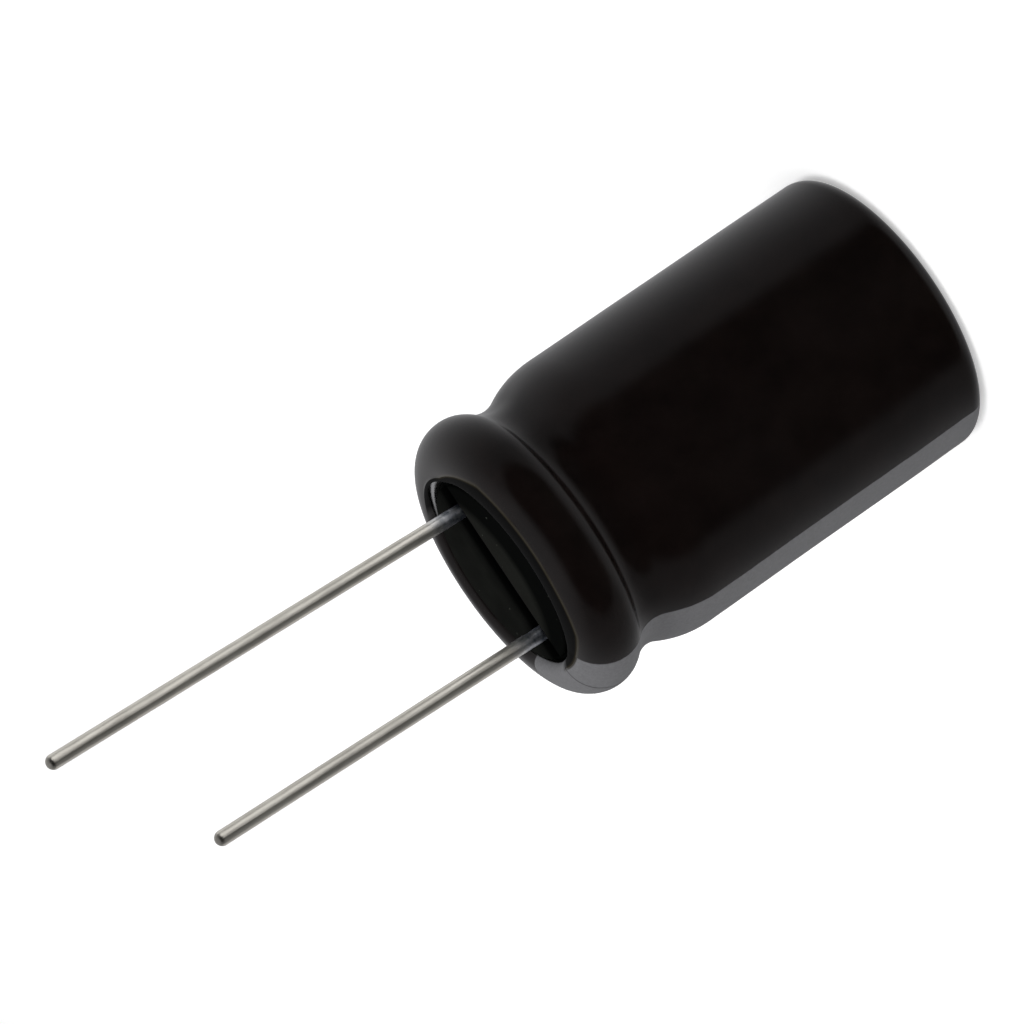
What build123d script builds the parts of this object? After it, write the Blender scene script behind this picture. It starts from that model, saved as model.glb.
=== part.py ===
from build123d import *
import os
from math import atan2, degrees, sqrt

# Radial aluminium electrolytic capacitor, in millimetres, +Z up.
# It stands on the closed end of its can with its leads up. The origin is the middle of the
# face it stands on, and +X points from the axis of the can to the anode lead.

# Can: one deep-drawn aluminium cup, beaded and curled over its bung
CAN_RADIUS = 8.0
CAN_HEIGHT = 25.8  # closed end to the crown of the curled lip
CAN_WALL = 0.35
CAN_CORNER_RADIUS = 0.85
SHOULDER_RADIUS = 5.8  # convex run into the bead from the can's side
BEAD_DEPTH = 0.88
BEAD_RADIUS = 1.95
LIP_RADIUS = 1.88
CURL_RADIUS = 0.5
CURL_TAIL = 0.3  # straight edge past the curl that bites into the bung
VENT_LENGTH = 9.0  # each score line of the cross in the closed end
VENT_WIDTH = 0.5
VENT_DEPTH = 0.18

# Sleeve: plastic tube shrunk on the can and turned in at both ends
SLEEVE_WALL = 0.14
SLEEVE_FIT = 0.01
SLEEVE_FOLD = 0.95  # turned in under the closed end, past the can's corner
SLEEVE_OVERHANG = 0.12  # past the crown of the lip, towards the axis

# Bung: moulded rubber seal with two stand-off pads
BUNG_THICK = 6.2
BUNG_FIT = 0.02
BUNG_BELOW_CROWN = 0.55  # floor between the pads
PAD_BELOW_SLEEVE = 0.2  # pad tops below the crown of the sleeve
PAD_INSET = 0.3  # pads inside the mouth of the curl
PAD_EDGE = 0.18
CHANNEL_WIDTH = 1.5

# Leads: tinned wire, butt-welded to the tabs
LEAD_PITCH = 7.5
LEAD_RADIUS = 0.4
LEAD_FIT = 0.02
LEAD_TIP_ROUNDING = 0.36
LEAD_BEND_RADIUS = 2.5
ANODE_LEAD_LENGTH = 25.0  # above the sleeve
CATHODE_LEAD_LENGTH = 20.0
ANODE_LEAD_LEAN = 2.8  # degrees towards +X
CATHODE_LEAD_LEAN = 2.2
WELD_RADIUS = 0.6
WELD_LENGTH = 0.55
WELD_EDGE = 0.2
WELD_BELOW_FLOOR = 1.3  # foot of the weld below the bung's floor
COLLAR_LENGTH = 1.6  # weld metal drawn up the lead from the bung's floor
COLLAR_SWELL = 0.06  # over the lead's radius, at the collar's foot
COLLAR_TIP_SWELL = 0.01
COLLAR_OFF_FLOOR = 0.045

# Tabs: aluminium wire, round in the bung and flattened in the winding
SHANK_RADIUS = 1.2
SHANK_CHAMFER = 0.3
PADDLE_WIDTH = 2.8
PADDLE_THICK = 0.3
PADDLE_CORNER = 0.6
PADDLE_MARGIN = 3.0  # paddle's end above the foot of the winding
POCKET_FIT = 0.03

# Winding: two foils between two papers on one spiral, closed with tape
CORE_RADIUS = 1.6
ANODE_FOIL_THICK = 0.11
CATHODE_FOIL_THICK = 0.06
PAPER_THICK = 0.12
TAPE_THICK = 0.08
LAYER_GAP = 0.01
FOIL_MARGIN = 0.8  # foils end short of the papers, top and bottom
TAPE_MARGIN = 2.0
WINDING_FIT = 0.15  # between the tape and the can's side
WINDING_CLEARANCE = 0.4  # above the closed end
WINDING_HEADROOM = 1.4  # below the bung
NECK_CLEARANCE = 0.1  # tab's neck off the papers and off the bung

# Heights
CAN_FOOT = SLEEVE_FIT + SLEEVE_WALL
LIP_CROWN = CAN_FOOT + CAN_HEIGHT
TOTAL_HEIGHT = LIP_CROWN + SLEEVE_FIT + SLEEVE_WALL
BUNG_FLOOR = LIP_CROWN - BUNG_BELOW_CROWN
BUNG_FOOT = BUNG_FLOOR - BUNG_THICK
WELD_FOOT = BUNG_FLOOR - WELD_BELOW_FLOOR
WINDING_FOOT = CAN_FOOT + CAN_WALL + WINDING_CLEARANCE
WINDING_TOP = BUNG_FOOT - WINDING_HEADROOM

# Radii
CROWN_RADIUS = CAN_RADIUS - LIP_RADIUS
MOUTH_RADIUS = CROWN_RADIUS - CURL_RADIUS
SPIRAL_PITCH = ANODE_FOIL_THICK + CATHODE_FOIL_THICK + 2 * PAPER_THICK + 4 * LAYER_GAP


def run_between(inner_radius, outer_radius, sideways):
    """Height between two tangent arcs' centres that bulge opposite ways."""
    reach = inner_radius + outer_radius
    return sqrt(reach**2 - (reach - sideways) ** 2)


def shell_side(inset):
    """Edges of the can's outer face moved in by inset, from its corner to its crown."""
    lip_z = LIP_CROWN - LIP_RADIUS
    bead_x = CAN_RADIUS - BEAD_DEPTH + BEAD_RADIUS
    bead_z = lip_z - run_between(LIP_RADIUS, BEAD_RADIUS, BEAD_DEPTH)
    shoulder_x = CAN_RADIUS - SHOULDER_RADIUS
    shoulder_z = bead_z - run_between(SHOULDER_RADIUS, BEAD_RADIUS, BEAD_DEPTH)
    corner_z = CAN_FOOT + CAN_CORNER_RADIUS
    rise = degrees(atan2(bead_z - shoulder_z, bead_x - shoulder_x))
    fall = degrees(atan2(lip_z - bead_z, bead_x - CROWN_RADIUS))
    side_x = CAN_RADIUS - inset
    return [
        CenterArc((CAN_RADIUS - CAN_CORNER_RADIUS, corner_z), CAN_CORNER_RADIUS - inset, -90, 90),
        Line((side_x, corner_z), (side_x, shoulder_z)),
        CenterArc((shoulder_x, shoulder_z), SHOULDER_RADIUS - inset, 0, rise),
        CenterArc((bead_x, bead_z), BEAD_RADIUS + inset, 180 + rise, -rise - fall),
        CenterArc((CROWN_RADIUS, lip_z), LIP_RADIUS - inset, -fall, 90 + fall),
    ]


def curl(inset):
    """Edges of the curled rim moved in by inset, from the crown to the end of its tail."""
    curl_z = LIP_CROWN - CURL_RADIUS
    inner_x = MOUTH_RADIUS + inset
    return [
        CenterArc((CROWN_RADIUS, curl_z), CURL_RADIUS - inset, 90, 90),
        Line((inner_x, curl_z), (inner_x, curl_z - CURL_TAIL)),
    ]


def turned(edges):
    """Solid of revolution about +Z from the edges of its closed section."""
    return revolve(Plane.XZ * make_face(Wire(edges)), Axis.Z)


def vent_score():
    """One V-shaped score line up into the closed end, along X."""
    half = VENT_WIDTH / 2
    section = Polygon((-half, 0), (half, 0), (0, VENT_DEPTH), align=None)
    return Pos(0, 0, CAN_FOOT) * extrude(Plane.YZ * section, VENT_LENGTH / 2, both=True)


def can():
    outer = shell_side(0) + curl(0)
    inner = shell_side(CAN_WALL) + curl(CAN_WALL)
    corner_x = CAN_RADIUS - CAN_CORNER_RADIUS
    closing = [
        Line((0, CAN_FOOT), (corner_x, CAN_FOOT)),
        Line((0, CAN_FOOT + CAN_WALL), (corner_x, CAN_FOOT + CAN_WALL)),
        Line((0, CAN_FOOT), (0, CAN_FOOT + CAN_WALL)),
        Line(outer[-1] @ 1, inner[-1] @ 1),
    ]
    score = vent_score()
    return turned(outer + inner + closing) - score - Rot(0, 0, 90) * score


def sleeve():
    inner = shell_side(-SLEEVE_FIT)
    outer = shell_side(-SLEEVE_FIT - SLEEVE_WALL)
    fold_x = CAN_RADIUS - CAN_CORNER_RADIUS - SLEEVE_FOLD
    mouth_x = CROWN_RADIUS - SLEEVE_OVERHANG
    ends = []
    for line in (inner, outer):
        fold_end, crown = line[0] @ 0, line[-1] @ 1
        ends += [Line((fold_x, fold_end.Y), fold_end), Line(crown, (mouth_x, crown.Y))]
    fold_edge = Line(ends[0] @ 0, ends[2] @ 0)
    mouth_edge = Line(ends[1] @ 1, ends[3] @ 1)
    return turned(inner + outer + ends + [fold_edge, mouth_edge])


def plug():
    """All that fits inside the can and its curl, up to the floor between the bung's pads."""
    inset = CAN_WALL + BUNG_FIT
    side = shell_side(inset) + curl(inset)
    tail_end = side[-1] @ 1 - Vector(0, BUNG_FIT)
    neck_x = MOUTH_RADIUS - BUNG_FIT
    foot = side[0] @ 0
    return turned(
        side
        + [
            Line(side[-1] @ 1, tail_end),
            Line(tail_end, (neck_x, tail_end.Y)),
            Line((neck_x, tail_end.Y), (neck_x, BUNG_FLOOR)),
            Line((neck_x, BUNG_FLOOR), (0, BUNG_FLOOR)),
            Line((0, BUNG_FLOOR), (0, foot.Y)),
            Line((0, foot.Y), foot),
        ]
    )


def pads():
    """Two stand-offs, each a disc cut straight along the channel between them."""
    height = TOTAL_HEIGHT - PAD_BELOW_SLEEVE - BUNG_FLOOR
    disc = Cylinder(MOUTH_RADIUS - PAD_INSET, height, align=(Align.CENTER, Align.CENTER, Align.MIN))
    channel = Box(2 * CAN_RADIUS, CHANNEL_WIDTH, 3 * height)
    both = disc - channel
    return Pos(0, 0, BUNG_FLOOR) * fillet(both.faces().sort_by(Axis.Z)[-2:].edges(), PAD_EDGE)


def lead_hole():
    """Stepped hole up through the bung for a tab's shank, a weld and a lead."""
    steps = [
        (SHANK_RADIUS + BUNG_FIT, BUNG_FOOT - BUNG_FIT, WELD_FOOT + BUNG_FIT),
        (WELD_RADIUS + BUNG_FIT, WELD_FOOT, WELD_FOOT + WELD_LENGTH + BUNG_FIT),
        (LEAD_RADIUS + LEAD_FIT, WELD_FOOT, TOTAL_HEIGHT),
    ]
    hole = Part()
    for radius, low, high in steps:
        hole += Pos(0, 0, low) * Cylinder(
            radius, high - low, align=(Align.CENTER, Align.CENTER, Align.MIN)
        )
    return hole


def bung():
    slab_height = TOTAL_HEIGHT - BUNG_FOOT
    slab = Pos(0, 0, BUNG_FOOT + slab_height / 2) * Box(
        4 * CAN_RADIUS, 4 * CAN_RADIUS, slab_height
    )
    solid = (plug() & slab) + pads()
    for side in (-1, 1):
        solid -= Pos(side * LEAD_PITCH / 2, 0, 0) * lead_hole()
    return solid


def lead(length, lean):
    """Wire up from the weld, bent at the bung's floor, through a collar of weld metal to a round tip."""
    reach = TOTAL_HEIGHT + length - BUNG_FLOOR
    run = Vector(0, 0, reach).rotate(Axis.Y, lean)
    path = FilletPolyline(
        (0, 0, WELD_FOOT), (0, 0, BUNG_FLOOR), Vector(0, 0, BUNG_FLOOR) + run,
        radius=LEAD_BEND_RADIUS,
    )
    wire = sweep(Pos(0, 0, WELD_FOOT) * Circle(LEAD_RADIUS), path=path)
    tip = wire.faces().sort_by(Axis.Z)[-1]
    wire = fillet(tip.edges(), LEAD_TIP_ROUNDING)
    bead = Pos(0, 0, WELD_FOOT) * Cylinder(
        WELD_RADIUS, WELD_LENGTH, align=(Align.CENTER, Align.CENTER, Align.MIN)
    )
    collar_foot = Vector(0, 0, BUNG_FLOOR) + run.normalized() * COLLAR_OFF_FLOOR
    collar = Plane(collar_foot, z_dir=run) * Cone(
        LEAD_RADIUS + COLLAR_SWELL,
        LEAD_RADIUS + COLLAR_TIP_SWELL,
        COLLAR_LENGTH,
        align=(Align.CENTER, Align.CENTER, Align.MIN),
    )
    return wire + fillet(bead.edges().group_by(Axis.Z)[-1], WELD_EDGE) + collar


def tab():
    """Flat paddle in the winding, a neck, and a round shank up through the bung."""
    neck_foot = WINDING_TOP + NECK_CLEARANCE
    neck_top = BUNG_FOOT - NECK_CLEARANCE
    section = Rectangle(PADDLE_THICK, PADDLE_WIDTH)
    paddle_foot = WINDING_FOOT + PADDLE_MARGIN
    paddle = extrude(Pos(0, 0, paddle_foot) * section, neck_foot - paddle_foot)
    paddle = fillet(paddle.edges().filter_by(Axis.X).group_by(Axis.Z)[0], PADDLE_CORNER)
    neck = loft([Pos(0, 0, neck_foot) * section, Pos(0, 0, neck_top) * Circle(SHANK_RADIUS)])
    shank = extrude(Pos(0, 0, neck_top) * Circle(SHANK_RADIUS), WELD_FOOT - neck_top)
    shank = chamfer(shank.edges().group_by(Axis.Z)[-1], SHANK_CHAMFER)
    return paddle + neck + shank


def tab_pocket():
    """Room for a paddle, open at the top of the winding."""
    foot = WINDING_FOOT + PADDLE_MARGIN - POCKET_FIT
    return Pos(0, 0, foot) * Box(
        PADDLE_THICK + 2 * POCKET_FIT,
        PADDLE_WIDTH + 2 * POCKET_FIT,
        TOTAL_HEIGHT,
        align=(Align.CENTER, Align.CENTER, Align.MIN),
    )


def half_turns():
    """Half turns of foil and paper that fit in the can under the tape."""
    outermost = CAN_RADIUS - CAN_WALL - WINDING_FIT - TAPE_THICK - SPIRAL_PITCH * 3 / 4
    return 2 * int((outermost - CORE_RADIUS) / SPIRAL_PITCH)


def strip(layer_start, thickness, first, count, margin):
    """Strip wound on half circles, whose centres swap sides and radii grow by half a pitch."""
    edges = []
    for face_radius in (layer_start, layer_start + thickness):
        line = []
        for turn in range(first, first + count):
            radius = CORE_RADIUS + face_radius + turn * SPIRAL_PITCH / 2
            side = 1 if turn % 2 else -1
            line.append(
                CenterArc((side * SPIRAL_PITCH / 4, 0), radius, 180 * (turn % 2), 180)
            )
        edges.append(line)
    inner, outer = edges
    ends = [Line(inner[0] @ 0, outer[0] @ 0), Line(inner[-1] @ 1, outer[-1] @ 1)]
    section = make_face(Wire(inner + outer + ends))
    low, high = WINDING_FOOT + margin, WINDING_TOP - margin
    return extrude(Pos(0, 0, low) * section, high - low)


def winding():
    """Foils, papers and closing tape by name."""
    turns = half_turns()
    layers = [
        ("anode_foil", ANODE_FOIL_THICK, FOIL_MARGIN),
        ("inner_separator", PAPER_THICK, 0),
        ("cathode_foil", CATHODE_FOIL_THICK, FOIL_MARGIN),
        ("outer_separator", PAPER_THICK, 0),
    ]
    strips, start = {}, 0
    for name, thickness, margin in layers:
        strips[name] = strip(start, thickness, 0, turns, margin)
        start += thickness + LAYER_GAP
    strips["closing_tape"] = strip(0, TAPE_THICK, turns, 2, TAPE_MARGIN)
    for side in (-1, 1):
        pocket = Pos(side * LEAD_PITCH / 2, 0, 0) * tab_pocket()
        strips = {name: solid - pocket for name, solid in strips.items()}
    return strips


def pieces():
    """Every piece by name."""
    found = {"can": can(), "sleeve": sleeve(), "bung": bung(), **winding()}
    for name, side, length, lean in (
        ("anode", 1, ANODE_LEAD_LENGTH, ANODE_LEAD_LEAN),
        ("cathode", -1, CATHODE_LEAD_LENGTH, CATHODE_LEAD_LEAN),
    ):
        place = Pos(side * LEAD_PITCH / 2, 0, 0)
        found[name + "_tab"] = place * tab()
        found[name + "_lead"] = place * lead(length, lean)
    return found


os.makedirs("parts", exist_ok=True)
for name, piece in pieces().items():
    export_step(piece, f"parts/{name}.step")
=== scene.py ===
from math import atan2, cos, degrees, hypot, pi, radians, sin, sqrt

import bmesh
import bpy
from mathutils import Matrix, Vector, noise

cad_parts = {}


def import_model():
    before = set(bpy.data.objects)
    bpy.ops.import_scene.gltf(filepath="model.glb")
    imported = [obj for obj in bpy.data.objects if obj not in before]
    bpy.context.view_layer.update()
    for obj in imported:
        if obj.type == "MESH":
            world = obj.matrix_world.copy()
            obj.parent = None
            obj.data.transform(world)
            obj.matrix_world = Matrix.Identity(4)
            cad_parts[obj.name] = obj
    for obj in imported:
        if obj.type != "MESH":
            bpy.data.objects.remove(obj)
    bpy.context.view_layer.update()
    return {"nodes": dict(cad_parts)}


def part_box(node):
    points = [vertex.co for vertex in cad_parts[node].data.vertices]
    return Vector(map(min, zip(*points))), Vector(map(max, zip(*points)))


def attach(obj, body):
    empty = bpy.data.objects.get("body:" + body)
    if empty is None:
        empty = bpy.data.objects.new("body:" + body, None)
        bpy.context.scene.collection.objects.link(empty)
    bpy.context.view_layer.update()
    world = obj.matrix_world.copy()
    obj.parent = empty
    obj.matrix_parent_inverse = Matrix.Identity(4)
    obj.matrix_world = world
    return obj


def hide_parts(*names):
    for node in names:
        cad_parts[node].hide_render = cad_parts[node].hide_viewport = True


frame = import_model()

MM = 0.001

# ---------------------------------------------------------------- sizes, in metres
SLEEVE_LOW, SLEEVE_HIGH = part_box("sleeve")
SLEEVE_RADIUS = SLEEVE_HIGH[0]
SLEEVE_TOP = SLEEVE_HIGH[2]
SLEEVE_WALL = 0.14 * MM
CORNER_RADIUS = 1.0 * MM
SHOULDER_RADIUS = 5.95 * MM
BEAD_DEPTH = 0.88 * MM
BEAD_RADIUS = 1.8 * MM
LIP_RADIUS = 2.03 * MM
FOLD_WIDTH = 0.95 * MM
CURL_RADIUS = 0.65 * MM
CURL_WRAP = 66
SLEEVE_STEPS = 300

WIRE_RADIUS = 0.42 * MM
WIRE_STEPS = 40
WELD_RADIUS = 0.6 * MM
WELD_LENGTH = 0.55 * MM
BUNG_FLOOR = 25.4 * MM
ROUGH_LENGTH = 2.6 * MM

STRIPE_CENTRE = radians(181)
STRIPE_HALF_ANGLE = radians(32)


# ---------------------------------------------------------------- helpers
def arc(centre_x, centre_z, radius, start, sweep, steps):
    """Points round an arc in the XZ plane, angles in degrees."""
    return [
        Vector((centre_x + radius * cos(radians(start + sweep * i / steps)), 0,
                centre_z + radius * sin(radians(start + sweep * i / steps))))
        for i in range(steps + 1)
    ]


def straight(start, end, steps):
    """Points along a line, without its two ends."""
    return [start.lerp(end, i / steps) for i in range(1, steps)]


def tangent_run(first, second, sideways):
    """Height between the centres of two tangent arcs that bulge opposite ways."""
    return sqrt((first + second) ** 2 - (first + second - sideways) ** 2)


def sleeve_line(inset, detail):
    """The sleeve's outer face moved in by inset, from its fold to its cut edge."""
    crown_x = SLEEVE_RADIUS - LIP_RADIUS
    lip_z = SLEEVE_TOP - LIP_RADIUS
    bead_x = SLEEVE_RADIUS - BEAD_DEPTH + BEAD_RADIUS
    bead_z = lip_z - tangent_run(LIP_RADIUS, BEAD_RADIUS, BEAD_DEPTH)
    shoulder_x = SLEEVE_RADIUS - SHOULDER_RADIUS
    shoulder_z = bead_z - tangent_run(SHOULDER_RADIUS, BEAD_RADIUS, BEAD_DEPTH)
    rise = degrees(atan2(bead_z - shoulder_z, bead_x - shoulder_x))
    fall = degrees(atan2(lip_z - bead_z, bead_x - crown_x))
    corner_x = SLEEVE_RADIUS - CORNER_RADIUS
    side_x = SLEEVE_RADIUS - inset
    fold_end = Vector((corner_x - FOLD_WIDTH, 0, inset))
    corner = arc(corner_x, CORNER_RADIUS, CORNER_RADIUS - inset, -90, 90, 3 * detail)
    side = straight(Vector((side_x, 0, CORNER_RADIUS)), Vector((side_x, 0, shoulder_z)), 9 * detail)
    shoulder = arc(shoulder_x, shoulder_z, SHOULDER_RADIUS - inset, 0, rise, 3 * detail)
    bead = arc(bead_x, bead_z, BEAD_RADIUS + inset, 180 + rise, -rise - fall, 3 * detail)
    lip = arc(crown_x, lip_z, LIP_RADIUS - inset, -fall, 90 + fall, 6 * detail)
    curl = arc(crown_x, SLEEVE_TOP - CURL_RADIUS, CURL_RADIUS - inset, 90, CURL_WRAP, 2 * detail)
    fold = [fold_end] + straight(fold_end, corner[0], detail)
    return fold + corner + side + shoulder + bead[1:] + lip[1:] + curl[1:]


def spun(points, steps, closed):
    """A new bmesh turned about +Z from a section in the XZ plane."""
    bm = bmesh.new()
    verts = [bm.verts.new(point) for point in points]
    pairs = list(zip(verts, verts[1:])) + ([(verts[-1], verts[0])] if closed else [])
    edges = [bm.edges.new(pair) for pair in pairs]
    bmesh.ops.spin(bm, geom=verts + edges, cent=(0, 0, 0), axis=(0, 0, 1), angle=2 * pi,
                   steps=steps, use_merge=True)
    bmesh.ops.remove_doubles(bm, verts=bm.verts, dist=1e-7)
    bmesh.ops.recalc_face_normals(bm, faces=bm.faces)
    return bm


def piece(name, bm, material):
    """A finished, smooth-shaded object at the origin from a bmesh."""
    mesh = bpy.data.meshes.new(name)
    bm.to_mesh(mesh)
    bm.free()
    for face in mesh.polygons:
        face.use_smooth = True
    mesh.materials.append(material)
    made = bpy.data.objects.new(name, mesh)
    bpy.context.scene.collection.objects.link(made)
    return made


# ---------------------------------------------------------------- material helpers
class Nodes:
    """Short calls for building one material's node tree."""

    def __init__(self, name):
        self.material = bpy.data.materials.new(name)
        self.material.use_nodes = True
        self.tree = self.material.node_tree
        self.shader = next(n for n in self.tree.nodes if n.type == "BSDF_PRINCIPLED")

    def link(self, source, target):
        self.tree.links.new(source, target)

    def put(self, target, value):
        """Links a socket, or sets a plain value."""
        if isinstance(value, bpy.types.NodeSocket):
            self.link(value, target)
        else:
            target.default_value = value

    def math(self, operation, first, second=0.0, third=0.0, clamp=False):
        node = self.tree.nodes.new("ShaderNodeMath")
        node.operation = operation
        node.use_clamp = clamp
        for socket, value in zip(node.inputs, (first, second, third)):
            self.put(socket, value)
        return node.outputs[0]

    def place(self, scale=(1, 1, 1)):
        """Object coordinates, scaled."""
        coordinates = self.tree.nodes.new("ShaderNodeTexCoord")
        mapping = self.tree.nodes.new("ShaderNodeMapping")
        mapping.inputs["Scale"].default_value = scale
        self.link(coordinates.outputs["Object"], mapping.inputs["Vector"])
        return mapping.outputs[0]

    def axes(self):
        split = self.tree.nodes.new("ShaderNodeSeparateXYZ")
        self.link(self.place(), split.inputs[0])
        return split.outputs

    def noise(self, scale, detail=3.0, roughness=0.5, stretch=(1, 1, 1)):
        node = self.tree.nodes.new("ShaderNodeTexNoise")
        self.link(self.place(stretch), node.inputs["Vector"])
        node.inputs["Scale"].default_value = scale
        node.inputs["Detail"].default_value = detail
        node.inputs["Roughness"].default_value = roughness
        return node.outputs["Fac"]

    def spread(self, value, low, high, to_low, to_high):
        """Value from low..high onto to_low..to_high, held at both ends."""
        node = self.tree.nodes.new("ShaderNodeMapRange")
        for socket, number in zip(node.inputs, (value, low, high, to_low, to_high)):
            self.put(socket, number)
        return node.outputs[0]

    def mix(self, factor, first, second):
        node = self.tree.nodes.new("ShaderNodeMix")
        node.data_type = "RGBA"
        for name, value in (("Factor_Float", factor), ("A_Color", first), ("B_Color", second)):
            socket = next(s for s in node.inputs if s.identifier == name)
            self.put(socket, value)
        return next(s for s in node.outputs if s.identifier == "Result_Color")

    def bump(self, height, strength, distance, normal=None):
        node = self.tree.nodes.new("ShaderNodeBump")
        node.inputs["Strength"].default_value = strength
        node.inputs["Distance"].default_value = distance
        self.link(height, node.inputs["Height"])
        if normal is not None:
            self.link(normal, node.inputs["Normal"])
        return node.outputs[0]

    def finish(self, **values):
        for name, value in values.items():
            self.put(self.shader.inputs[name.replace("_", " ")], value)
        return self.material


# ---------------------------------------------------------------- materials
def film():
    """Glossy near-black shrink film with a grey polarity stripe and minus marks, and painted shade with a painted
    olive edge line in the mouth.
    """
    n = Nodes("sleeve_film")
    x, y, z = n.axes()
    across = n.math("ARCTAN2", y, n.math("MULTIPLY", x, -1.0))
    ragged = n.math("MULTIPLY", n.noise(900, 2.0), 0.012)
    reach = n.math("ADD", n.math("ABSOLUTE", n.math("ADD", across, STRIPE_CENTRE - pi)), ragged)
    stripe = n.spread(reach, STRIPE_HALF_ANGLE, STRIPE_HALF_ANGLE + 0.012, 1.0, 0.0)
    along = n.math("ABSOLUTE", n.math("SUBTRACT", n.math("FRACT", n.math("DIVIDE", z, 5 * MM)), 0.5))
    dash = n.math("MULTIPLY", n.spread(along, 0.062, 0.067, 1.0, 0.0),
                  n.spread(reach, 0.15, 0.155, 1.0, 0.0))
    body = n.math("MULTIPLY", n.spread(z, 5 * MM, 5.01 * MM, 0.0, 1.0),
                  n.spread(z, 19.5 * MM, 19.51 * MM, 1.0, 0.0))
    printed = n.math("MULTIPLY", dash, body)
    ink = n.math("MULTIPLY", stripe, n.math("SUBTRACT", 1.0, printed))
    mottle = n.noise(420, 4.0, 0.6)
    dark = n.mix(n.spread(mottle, 0.35, 0.7, 0.0, 1.0), (0.0036, 0.0024, 0.0022, 1), (0.0060, 0.0040, 0.0036, 1))
    grain = n.noise(6000, 3.0, 0.7)
    grey = n.mix(n.spread(grain, 0.3, 0.7, 0.0, 1.0), (0.108, 0.108, 0.113, 1), (0.150, 0.150, 0.156, 1))
    seam = n.math("MULTIPLY", n.spread(n.math("ABSOLUTE", n.math("ADD", across, 0.19)), 0.005, 0.012, 1.0, 0.0),
                  n.spread(z, 23.2 * MM, 24.4 * MM, 0.0, 1.0))
    # painted shade in the mouth: inside a wobbly line on the lip, on the near side and the +X side, the film is
    # painted near-black and rough, standing for shade in the mouth and the shadow gap beside the can's curl
    from_axis = n.math("SQRT", n.math("ADD", n.math("MULTIPLY", x, x), n.math("MULTIPLY", y, y)))
    wobble = n.math("MULTIPLY", n.noise(260, 1.0), 0.12 * MM)
    painted_edge_radius = n.math("ADD", n.spread(y, -5.2 * MM, -1.3 * MM, 6.87 * MM, 5.94 * MM), wobble)
    inside_painted_edge = n.math("SUBTRACT", painted_edge_radius, from_axis)
    mouth = n.spread(z, 24 * MM, 24.1 * MM, 0.0, 1.0)
    shaded = n.math("MAXIMUM", n.spread(x, 4.2 * MM, 4.8 * MM, 0.0, 1.0),
                    n.spread(y, -1.6 * MM, -0.6 * MM, 1.0, 0.0))
    # painted shade mask, used for near-black colour and high roughness
    painted_shade_zone = n.math("MULTIPLY", n.math("MULTIPLY", n.spread(inside_painted_edge, 0.0, 0.04 * MM, 0.0, 1.0), shaded), mouth)
    # painted edge: an olive line painted along the near part of that line, drawing in colour a sleeve edge that the
    # shape does not have there
    cut = n.math("MULTIPLY", n.spread(n.math("ABSOLUTE", inside_painted_edge), 0.05 * MM, 0.11 * MM, 1.0, 0.0),
                 n.math("MULTIPLY", n.spread(y, -1.6 * MM, -0.6 * MM, 1.0, 0.0), mouth))
    inked = n.mix(ink, dark, n.mix(seam, grey, (0.02, 0.02, 0.022, 1)))
    # painted shade: near-black inside the line
    film_with_painted_shade = n.mix(painted_shade_zone, inked, (0.0008, 0.0008, 0.0008, 1))
    colour = n.mix(cut, film_with_painted_shade, (0.016, 0.013, 0.007, 1))
    rough = n.math("ADD", n.spread(n.noise(150, 3.0), 0.3, 0.7, 0.10, 0.17), n.math("MULTIPLY", ink, 0.36))
    rough = n.math("ADD", rough, n.math("MULTIPLY", painted_shade_zone, 0.8), clamp=True)
    wave = n.bump(n.noise(210, 2.0, 0.5), 0.25, 0.05 * MM)
    peel = n.bump(n.noise(1500, 2.0, 0.5), 0.12, 0.02 * MM, wave)
    return n.finish(Base_Color=colour, Roughness=rough, IOR=1.5, Normal=peel)


def rubber():
    """Greenish-black rubber with random tone, painted shade near the rim and in the channel, and a painted light band
    along the near pad's edge by the channel.
    """
    n = Nodes("bung_rubber")
    x, y, z = n.axes()
    cloud = n.noise(700, 4.0, 0.6)
    # painted shadow: on the near pad, light inside a circle round a point past the channel and dark towards the rim,
    # standing for the rim's shadow and the lit band beside it
    from_shadow_centre = n.math("SQRT", n.math("ADD", n.math("POWER", x, 2.0),
                                        n.math("POWER", n.math("SUBTRACT", y, 1.6 * MM), 2.0)))
    near_pad_painted_light_and_shadow = n.math("MULTIPLY", n.spread(from_shadow_centre, 4.3 * MM, 5.1 * MM, 1.0, 0.12),
                      n.spread(y, -0.85 * MM, -0.65 * MM, 1.0, 0.0))
    # painted shade: darker towards the channel and lower down on the far pad's wall, times random tone
    sunk = n.math("MULTIPLY", n.math("SUBTRACT", z, 25.9 * MM), 3.0)
    far_pad_shade_and_tone = n.math("MULTIPLY", n.spread(n.math("ADD", y, sunk), -0.5 * MM, 1.7 * MM, 0.0, 0.62),
                     n.spread(n.noise(500, 2.0), 0.3, 0.7, 0.8, 1.15))
    # painted light and shade of both pads, times random tone
    pads = n.math("MULTIPLY", n.math("ADD", near_pad_painted_light_and_shadow, far_pad_shade_and_tone), n.spread(cloud, 0.3, 0.7, 0.85, 1.1))
    colour = n.mix(pads, (0.0014, 0.0016, 0.0016, 1), (0.0110, 0.0114, 0.0102, 1))
    speck = n.spread(n.noise(5200, 1.0, 0.3), 0.80, 0.83, 0.0, 0.5)
    skin = n.bump(n.noise(4000, 3.0, 0.6), 0.25, 0.012 * MM)
    return n.finish(Base_Color=n.mix(speck, colour, (0.12, 0.13, 0.11, 1)), Roughness=0.7, IOR=1.5,
                    Specular_IOR_Level=0.0, Normal=skin)


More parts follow.
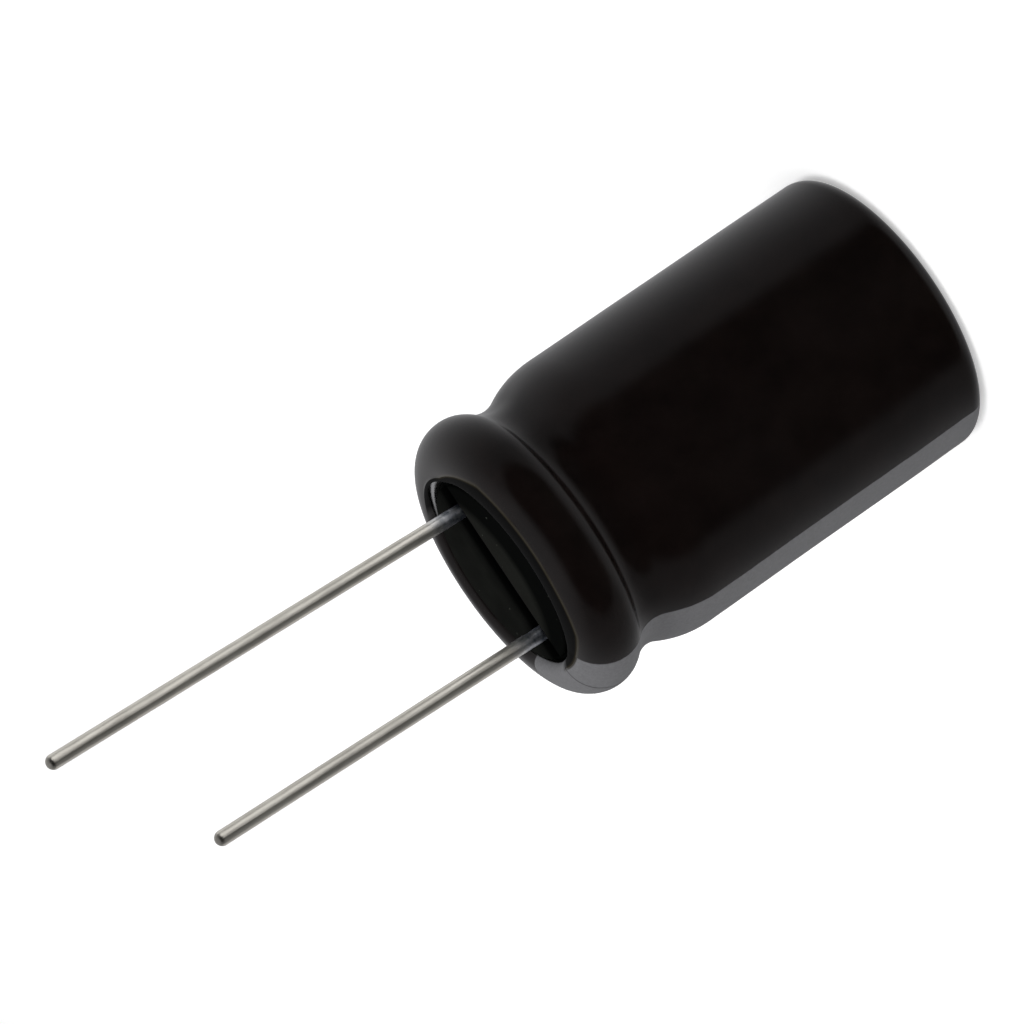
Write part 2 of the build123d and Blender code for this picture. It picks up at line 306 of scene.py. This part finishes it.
def drawn_aluminium():
    n = Nodes("drawn_aluminium")
    streak = n.noise(900, 4.0, 0.6, (1, 1, 0.08))
    colour = n.mix(streak, (0.70, 0.70, 0.71, 1), (0.88, 0.88, 0.88, 1))
    rough = n.spread(streak, 0.3, 0.7, 0.18, 0.34)
    lines = n.bump(n.noise(2600, 3.0, 0.6, (1, 1, 0.06)), 0.3, 0.01 * MM)
    return n.finish(Base_Color=colour, Metallic=1.0, Roughness=rough, Normal=lines)


def tinned_wire():
    """Bright tin with draw lines along the wire, dull smears, and a bluish weld zone at its foot."""
    n = Nodes("tinned_wire")
    height = n.axes()[2]
    draw = n.noise(2600, 3.0, 0.6, (1, 1, 0.035))
    smear = n.noise(1300, 4.0, 0.65, (1, 1, 0.3))
    tin = n.mix(n.spread(smear, 0.35, 0.7, 0.0, 1.0), (0.74, 0.715, 0.65, 1), (0.56, 0.535, 0.485, 1))
    foot = n.spread(n.math("ADD", height, n.math("MULTIPLY", smear, 1.4 * MM)),
                    BUNG_FLOOR + 1.6 * MM, BUNG_FLOOR + 3.2 * MM, 1.0, 0.0)
    weld = n.mix(n.spread(n.noise(2400, 3.0, 0.6), 0.4, 0.62, 0.0, 1.0), (0.34, 0.38, 0.46, 1), (0.80, 0.82, 0.88, 1))
    rough = n.spread(draw, 0.3, 0.7, 0.26, 0.44)
    scratches = n.bump(draw, 0.35, 0.012 * MM)
    lumps = n.bump(n.noise(1500, 3.0, 0.6, (1, 1, 0.4)), 0.5, 0.03 * MM, scratches)
    return n.finish(Base_Color=n.mix(foot, tin, weld), Metallic=1.0, Roughness=rough, Normal=lumps)


def foil(name, light, dark, roughness):
    n = Nodes(name)
    etch = n.noise(3000, 4.0, 0.7)
    skin = n.bump(etch, 0.3, 0.01 * MM)
    return n.finish(Base_Color=n.mix(etch, dark, light), Metallic=0.9, Roughness=roughness, Normal=skin)


def kraft_paper():
    n = Nodes("kraft_paper")
    fibre = n.noise(2200, 5.0, 0.7, (1, 1, 0.25))
    skin = n.bump(fibre, 0.5, 0.02 * MM)
    return n.finish(Base_Color=n.mix(fibre, (0.42, 0.30, 0.18, 1), (0.66, 0.52, 0.35, 1)), Roughness=0.75, Normal=skin)


def closing_tape():
    n = Nodes("winding_tape")
    cloud = n.noise(600, 3.0, 0.5)
    skin = n.bump(cloud, 0.2, 0.02 * MM)
    return n.finish(Base_Color=n.mix(cloud, (0.62, 0.48, 0.24, 1), (0.74, 0.62, 0.36, 1)), Roughness=0.4, Normal=skin)


# ---------------------------------------------------------------- sleeve
def wander(angle, height, scale, seed):
    """Smooth unevenness, seamless round the can."""
    return noise.noise(Vector((cos(angle), sin(angle), height / (10 * MM))) * scale + Vector((seed, seed, seed)))


def ease(value, low, high):
    """0 at low, 1 at high, level at both."""
    part = min(1.0, max(0.0, (value - low) / (high - low)))
    return part * part * (3 - 2 * part)


def hump(value, centre, reach):
    """1 at the centre, 0 past its reach, level at both."""
    return ease(reach - abs(value - centre), 0, reach)


def sleeve():
    """Shrink film over the can, drawn in a little at the bead and rolled over the curl.

    On the anode's side it stops short of the curl, so that the curl shows.
    """
    outer = sleeve_line(0.0, 7)
    inner = sleeve_line(SLEEVE_WALL, 3)
    bm = spun(outer + inner[::-1], SLEEVE_STEPS, True)
    crown = SLEEVE_RADIUS - LIP_RADIUS
    curl_height = SLEEVE_TOP - CURL_RADIUS
    for vert in bm.verts:
        x, y, z = vert.co
        radius, angle = hypot(x, y), atan2(y, x)
        side = ease(z, 1.5 * MM, 5 * MM) * ease(SLEEVE_TOP - z, 0, 3 * MM)
        radius += side * (0.03 + 0.035 * wander(angle, z, 1.6, 3.1)) * MM
        radius += hump(z, 21.6 * MM, 3.4 * MM) * 0.06 * MM * wander(angle, z * 0.3, 3.4, 7.7)
        if z > 24 * MM and radius < crown:
            bare = hump(angle, 0.13, 0.95)
            past = atan2(crown - radius, z - curl_height)
            wrapped = past * (1 - 0.62 * bare + 0.16 * wander(angle, 0, 3.0, 9.9))
            reach = hypot(crown - radius, z - curl_height) + 0.10 * MM * bare * ease(past, 0, 1.0)
            radius, z = crown - reach * sin(wrapped), curl_height + reach * cos(wrapped)
        vert.co = (radius * cos(angle), radius * sin(angle), z)
    made = piece("sleeve_skin", bm, film())
    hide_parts("sleeve")
    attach(made, "root")
    return made


# ---------------------------------------------------------------- leads
def wire_section(height):
    """Radius of a lead at heights from its weld foot to its round tip."""
    rows = [Vector((0, 0, 0)), Vector((WELD_RADIUS, 0, 0)), Vector((WELD_RADIUS, 0, WELD_LENGTH * 0.65))]
    rows += [Vector((WELD_RADIUS * 0.9, 0, WELD_LENGTH * 0.9)), Vector((WIRE_RADIUS, 0, WELD_LENGTH))]
    run_end = height - WIRE_RADIUS
    steps = int((run_end - WELD_LENGTH) / (0.16 * MM))
    rows += straight(rows[-1], Vector((WIRE_RADIUS, 0, run_end)), steps)
    rows += arc(0, run_end, WIRE_RADIUS, 0, 90, 10)[:-1] + [Vector((0, 0, height))]
    return rows


def lead(node, seed):
    """Tinned wire, upright in the bung and leaning above it, a little nicked, rough at its weld."""
    low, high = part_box(node)
    foot_x = low[0] + WELD_RADIUS
    tip_x = high[0] - WIRE_RADIUS
    rise = high[2] - WIRE_RADIUS - BUNG_FLOOR
    lean = atan2(tip_x - foot_x, rise)
    straight_length = (BUNG_FLOOR - low[2]) + hypot(rise, tip_x - foot_x) + WIRE_RADIUS
    bm = spun(wire_section(straight_length), WIRE_STEPS, False)
    elbow = BUNG_FLOOR - low[2]
    for vert in bm.verts:
        x, y, z = vert.co
        around = Vector((x, y, 0)).normalized() if hypot(x, y) > 1e-7 else Vector((0, 0, 0))
        above = z - elbow
        rough = max(0.0, 1 - max(0.0, above) / ROUGH_LENGTH)
        dent = 0.006 * MM * noise.noise(Vector((x, y, z * 0.25)) * 2500 + Vector((seed, 0, 0)))
        lump = 0.05 * MM * rough * noise.noise(Vector((x, y, z * 0.6)) * 2600 + Vector((seed, 4, 0)))
        tame = min(1.0, max(0.0, (straight_length - z) / (0.8 * MM)))
        vert.co += around * (dent + lump - 0.004 * MM) * tame
    spine = [v for v in bm.verts if v.co.z > elbow]
    bmesh.ops.rotate(bm, verts=spine, cent=(0, 0, elbow), matrix=Matrix.Rotation(lean, 3, "Y"))
    bmesh.ops.translate(bm, verts=bm.verts, vec=(foot_x, 0, low[2]))
    made = piece(node + "_wire", bm, WIRE)
    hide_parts(node)
    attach(made, "root")
    return made


# ---------------------------------------------------------------- pieces kept from the frame
def finish_node(node, material):
    kept = frame["nodes"][node]
    kept.data.materials.clear()
    kept.data.materials.append(material)


WIRE = tinned_wire()
ALUMINIUM = drawn_aluminium()
sleeve()
anode_wire = lead("anode_lead", 11.0)
cathode_wire = lead("cathode_lead", 23.0)
finish_node("can", ALUMINIUM)
finish_node("bung", rubber())
finish_node("anode_foil", foil("etched_foil", (0.50, 0.51, 0.52, 1), (0.30, 0.31, 0.32, 1), 0.7))
finish_node("cathode_foil", foil("plain_foil", (0.82, 0.82, 0.83, 1), (0.66, 0.66, 0.67, 1), 0.35))
PAPER = kraft_paper()
finish_node("inner_separator", PAPER)
finish_node("outer_separator", PAPER)
finish_node("closing_tape", closing_tape())
finish_node("anode_tab", ALUMINIUM)
finish_node("cathode_tab", ALUMINIUM)


# ---------------------------------------------------------------- stage
def floor():
    bm = bmesh.new()
    bmesh.ops.create_circle(bm, cap_ends=True, segments=96, radius=1.5)
    n = Nodes("pale_floor")
    made = piece("floor", bm, n.finish(Base_Color=(0.86, 0.86, 0.86, 1), Roughness=0.9,
                                       Emission_Color=(1, 1, 1, 1), Emission_Strength=0.42))
    made.visible_glossy = False


def world():
    """White all round to the camera; gloss sees pale walls at the sides and back, open at the front."""
    sky = bpy.data.worlds.new("studio")
    bpy.context.scene.world = sky
    sky.use_nodes = True
    tree = sky.node_tree
    new, link = tree.nodes.new, tree.links.new
    back = next(n for n in tree.nodes if n.type == "BACKGROUND")
    out = next(n for n in tree.nodes if n.type == "OUTPUT_WORLD")
    place = new("ShaderNodeTexCoord")
    split = new("ShaderNodeSeparateXYZ")
    link(place.outputs["Generated"], split.inputs[0])

    def math(operation, first, second=0.0):
        node = new("ShaderNodeMath")
        node.operation = operation
        for socket, value in zip(node.inputs, (first, second)):
            if isinstance(value, float):
                socket.default_value = value
            else:
                link(value, socket)
        return node.outputs[0]

    def spread(value, low, high, to_low, to_high):
        node = new("ShaderNodeMapRange")
        node.interpolation_type = "SMOOTHSTEP"
        link(value, node.inputs[0])
        for socket, number in zip(node.inputs[1:5], (low, high, to_low, to_high)):
            socket.default_value = number
        return node.outputs[0]

    x, y, z = split.outputs
    front = math("MULTIPLY", y, -1.0)
    walls = spread(front, -1.0, 0.3, 0.44, 0.14)
    opening = spread(front, 0.28, 0.50, 1.0, 0.0)
    left = spread(x, -0.5, 0.5, 0.8, 1.0)
    overhead = spread(math("ABSOLUTE", z), 0.65, 1.0, 0.0, 1.0)
    round_about = math("MULTIPLY", math("MULTIPLY", walls, left), opening)
    kept = math("MULTIPLY", round_about, math("SUBTRACT", 1.0, overhead))
    strength = math("ADD", kept, math("MULTIPLY", overhead, 0.30))
    link(strength, back.inputs["Strength"])
    white = new("ShaderNodeBackground")
    white.inputs["Color"].default_value = (1, 1, 1, 1)
    white.inputs["Strength"].default_value = 1.0
    rays = new("ShaderNodeLightPath")
    both = new("ShaderNodeMixShader")
    back.inputs["Color"].default_value = (0.98, 0.98, 1.0, 1)
    link(rays.outputs["Is Camera Ray"], both.inputs[0])
    link(back.outputs[0], both.inputs[1])
    link(white.outputs[0], both.inputs[2])
    link(both.outputs[0], out.inputs["Surface"])


def soft_light(name, place, aim, size, power, glossy):
    data = bpy.data.lights.new(name, "AREA")
    data.shape = "DISK"
    data.size = size
    data.energy = power
    made = bpy.data.objects.new(name, data)
    made.location = place
    made.rotation_euler = (Vector(aim) - Vector(place)).to_track_quat("-Z", "Y").to_euler()
    made.visible_glossy = glossy
    made.visible_camera = False
    bpy.context.scene.collection.objects.link(made)
    return made


def lights():
    heart = (0, 0, 0.02)
    soft_light("top_soft", (0.0, -0.05, 0.6), heart, 0.5, 3.0, False)
    soft_light("front_soft", (-0.1, -0.5, 0.35), heart, 0.4, 1.2, False)
    only = bpy.data.collections.new("wires_only")
    for wire in (anode_wire, cathode_wire):
        only.objects.link(wire)
    tips = (0, 0, 0.04)
    for card in (soft_light("wire_front_right", (0.057, -0.057, 0.026), tips, 0.08, 0.0175, True),
                 soft_light("wire_right", (0.075, 0.027, 0.026), tips, 0.09, 0.011, True),
                 soft_light("wire_left", (-0.073, 0.034, 0.026), tips, 0.09, 0.008, True),
                 soft_light("wire_front", (0.007, -0.080, 0.026), tips, 0.05, 0.0040, True),
                 soft_light("wire_front_left", (-0.062, -0.050, 0.026), tips, 0.07, 0.0022, True)):
        card.light_linking.receiver_collection = only


def camera():
    """Long lens, looking down a little, rolled so that the leads point down to the left."""
    azimuth, elevation, roll = radians(3.31), radians(18.0), radians(-124.70)
    target = Vector((0, 0, 0.020))
    distance = 0.29706
    back = Vector((sin(azimuth) * cos(elevation), -cos(azimuth) * cos(elevation), sin(elevation)))
    right = Vector((cos(azimuth), sin(azimuth), 0))
    up = back.cross(right)
    turned_right = right * cos(roll) + up * sin(roll)
    turned_up = up * cos(roll) - right * sin(roll)
    aim = target - turned_right * (77.03 / 19411.4) - turned_up * (0.276 / 19411.4)
    data = bpy.data.cameras.new("camera")
    data.lens = 202.7
    data.clip_start, data.clip_end = 0.01, 20
    made = bpy.data.objects.new("camera", data)
    place = target + back * distance
    view = (place - aim).normalized()
    side = turned_up.cross(view).normalized()
    made.matrix_world = Matrix.Translation(place) @ Matrix((side, view.cross(side), view)).transposed().to_4x4()
    bpy.context.scene.collection.objects.link(made)
    bpy.context.scene.camera = made


floor()
world()
lights()
camera()
bpy.context.scene.view_settings.view_transform = "Standard"
